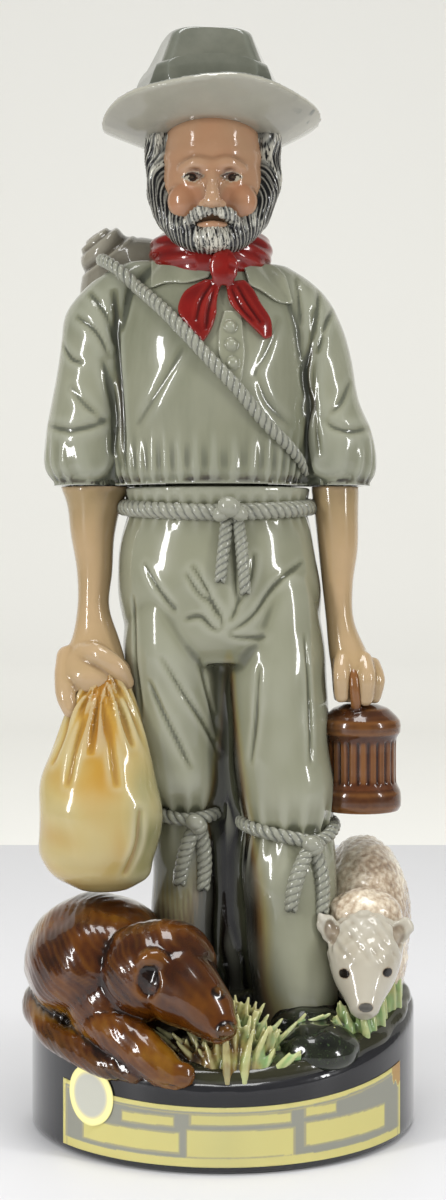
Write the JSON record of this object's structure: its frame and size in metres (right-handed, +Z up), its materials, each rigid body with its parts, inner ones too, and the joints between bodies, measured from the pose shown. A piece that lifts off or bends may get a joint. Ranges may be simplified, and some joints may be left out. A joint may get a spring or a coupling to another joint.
{
  "type": "figural decanter",
  "caption": "Glazed china decanter shaped as a bearded wanderer with a dog and a sheep; the figure parts at the waist and its upper half lifts out as the stopper.",
  "frame": {"origin": "centre of the round foot, in the plane that it stands on", "axes": "+Z up; the figure looks towards -Y; +X to the viewer's right from the front"},
  "size_m": [0.1296, 0.1291, 0.3556],
  "materials": {
    "black_glaze": "gloss glaze",
    "sage_glaze": "gloss glaze",
    "skin_glaze": "gloss glaze",
    "hair_glaze": "gloss glaze, streaked",
    "hat_glaze": "gloss glaze",
    "red_glaze": "gloss glaze",
    "rope_glaze": "gloss glaze",
    "roll_glaze": "gloss glaze",
    "bag_glaze": "gloss glaze",
    "billy_glaze": "gloss glaze",
    "dog_glaze": "gloss glaze",
    "wool_glaze": "gloss glaze",
    "ewe_face_glaze": "gloss glaze",
    "ground_glaze": "gloss glaze",
    "grass_glaze": "gloss glaze",
    "sleeve_plastic": "moulded",
    "label_paper": "printed bands, no text",
    "seal_paper": "plain disc"
  },
  "bodies": {
    "decanter": {"plinth": "black_glaze", "ground": "ground_glaze", "trousers": "sage_glaze", "right_boot": "black_glaze", "left_boot": "black_glaze", "right_forearm": "skin_glaze", "left_forearm": "skin_glaze", "tucker_bag": "bag_glaze", "billy_can": "billy_glaze", "belt_rope": "rope_glaze", "belt_knot": "rope_glaze", "right_knee_tie": "rope_glaze", "right_knee_bow": "rope_glaze", "left_knee_tie": "rope_glaze", "left_knee_bow": "rope_glaze", "dog_body": "dog_glaze", "dog_head": "dog_glaze", "dog_ear": "dog_glaze", "dog_foreleg": "dog_glaze", "dog_tail": "dog_glaze", "sheep_body": "wool_glaze", "sheep_head": "ewe_face_glaze", "front_grass": "grass_glaze", "side_grass": "grass_glaze", "front_label": "label_paper", "round_seal": "seal_paper"},
    "seal": {"stopper_sleeve": "sleeve_plastic"},
    "figure": {"stopper_stem": "sage_glaze", "shirt": "sage_glaze", "right_sleeve": "sage_glaze", "left_sleeve": "sage_glaze", "shirt_collar": "sage_glaze", "shirt_placket": "sage_glaze", "head": "skin_glaze", "beard_and_hair": "hair_glaze", "hat_brim": "hat_glaze", "hat_crown": "hat_glaze", "hat_band": "hat_glaze", "neckerchief": "red_glaze", "shoulder_rope": "rope_glaze", "bedroll": "roll_glaze"}
  },
  "joints": [
    {"name": "stopper_lift", "type": "slide", "parent": "decanter", "child": "seal", "axis": [0, 0, 1], "range_m": [0, 0.05]},
    {"name": "stopper_twist", "type": "hinge", "parent": "seal", "child": "figure", "pos_m": [-0.002, 0, 0.2], "axis": [0, 0, 1], "continuous": true}
  ]
}
